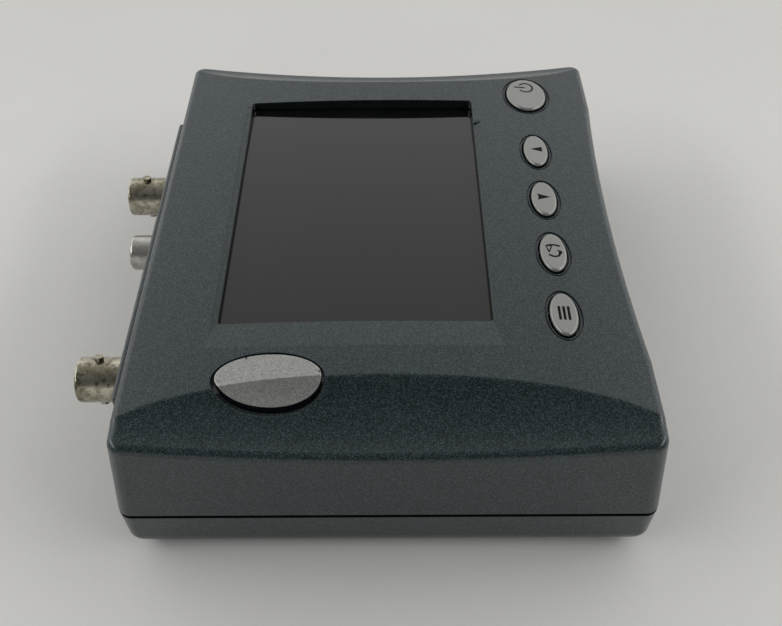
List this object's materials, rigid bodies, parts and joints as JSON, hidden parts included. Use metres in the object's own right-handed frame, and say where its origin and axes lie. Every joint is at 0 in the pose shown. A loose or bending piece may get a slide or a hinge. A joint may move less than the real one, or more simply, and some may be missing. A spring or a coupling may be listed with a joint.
{
  "type": "handheld video test monitor",
  "caption": "Hand-sized test monitor with a tilted-edge case, a recessed upright screen, a column of oval keys and video, audio and charging sockets along one side.",
  "frame": {"origin": "centre of the flat underside, which lies on z = 0", "axes": "+X towards the column of keys, away from the sockets; +Y towards the power-key end; +Z out of the screen"},
  "size_m": [0.1188, 0.1234, 0.0393],
  "materials": {
    "case_paint": "blue-grey metallic paint on moulded plastic, satin",
    "black_plastic": "moulded black plastic, matt",
    "window_glass": "tinted clear acrylic window, gloss",
    "display_glass": "dark liquid-crystal glass",
    "pale_plastic": "off-white plastic",
    "pressed_metal": "thin pressed metal, dull",
    "magnet_iron": "plated iron",
    "black_foam": "soft black foam and rubber",
    "silver_key": "satin silver coating on moulded plastic",
    "circuit_board": "green solder mask",
    "chip_plastic": "moulded chip bodies and cans",
    "nickel": "nickel plating, slightly dull",
    "gold_contact": "gold-plated brass",
    "dark_steel": "blackened steel screws"
  },
  "bodies": {
    "case": {"badge_plate": "silver_key", "battery_cells": "pressed_metal", "battery_pads": "black_foam", "bnc_back_contact": "gold_contact", "bnc_back_housing": "black_plastic", "bnc_back_insulator": "pale_plastic", "bnc_back_shell": "nickel", "bnc_front_contact": "gold_contact", "bnc_front_housing": "black_plastic", "bnc_front_insulator": "pale_plastic", "bnc_front_shell": "nickel", "bnc_nuts": "nickel", "bnc_washers": "nickel", "board_components": "chip_plastic", "board_header": "black_plastic", "board_screws": "dark_steel", "bottom_shell": "case_paint", "case_screws": "dark_steel", "charge_jack": "black_plastic", "charge_pin": "nickel", "connector_panel": "case_paint", "display_backlight": "pale_plastic", "display_panel": "display_glass", "display_ribbon": "pale_plastic", "display_tray": "pressed_metal", "display_window": "window_glass", "key_board": "circuit_board", "key_board_screws": "dark_steel", "left_switch": "black_plastic", "main_board": "circuit_board", "menu_switch": "black_plastic", "phono_contact": "gold_contact", "phono_insulator": "black_plastic", "phono_shell": "nickel", "power_switch": "black_plastic", "ribbon_socket": "black_plastic", "right_switch": "black_plastic", "rotate_switch": "black_plastic", "speaker_cone": "black_foam", "speaker_frame": "pressed_metal", "speaker_magnet": "magnet_iron", "top_shell": "case_paint", "tray_screws": "dark_steel", "window_gasket": "black_foam"},
    "power_button": {"power_key": "silver_key", "power_plunger": "pale_plastic"},
    "left_button": {"left_key": "silver_key", "left_plunger": "pale_plastic"},
    "right_button": {"right_key": "silver_key", "right_plunger": "pale_plastic"},
    "rotate_button": {"rotate_key": "silver_key", "rotate_plunger": "pale_plastic"},
    "menu_button": {"menu_key": "silver_key", "menu_plunger": "pale_plastic"}
  },
  "joints": [
    {"name": "power_press", "type": "slide", "parent": "case", "child": "power_button", "axis": [0, 0, -1], "range_m": [0, 0.0005], "stiffness_N_per_m": 1000},
    {"name": "left_press", "type": "slide", "parent": "case", "child": "left_button", "axis": [0, 0, -1], "range_m": [0, 0.0005], "stiffness_N_per_m": 1000},
    {"name": "right_press", "type": "slide", "parent": "case", "child": "right_button", "axis": [0, 0, -1], "range_m": [0, 0.0005], "stiffness_N_per_m": 1000},
    {"name": "rotate_press", "type": "slide", "parent": "case", "child": "rotate_button", "axis": [0, 0, -1], "range_m": [0, 0.0005], "stiffness_N_per_m": 1000},
    {"name": "menu_press", "type": "slide", "parent": "case", "child": "menu_button", "axis": [0, 0, -1], "range_m": [0, 0.0005], "stiffness_N_per_m": 1000}
  ]
}
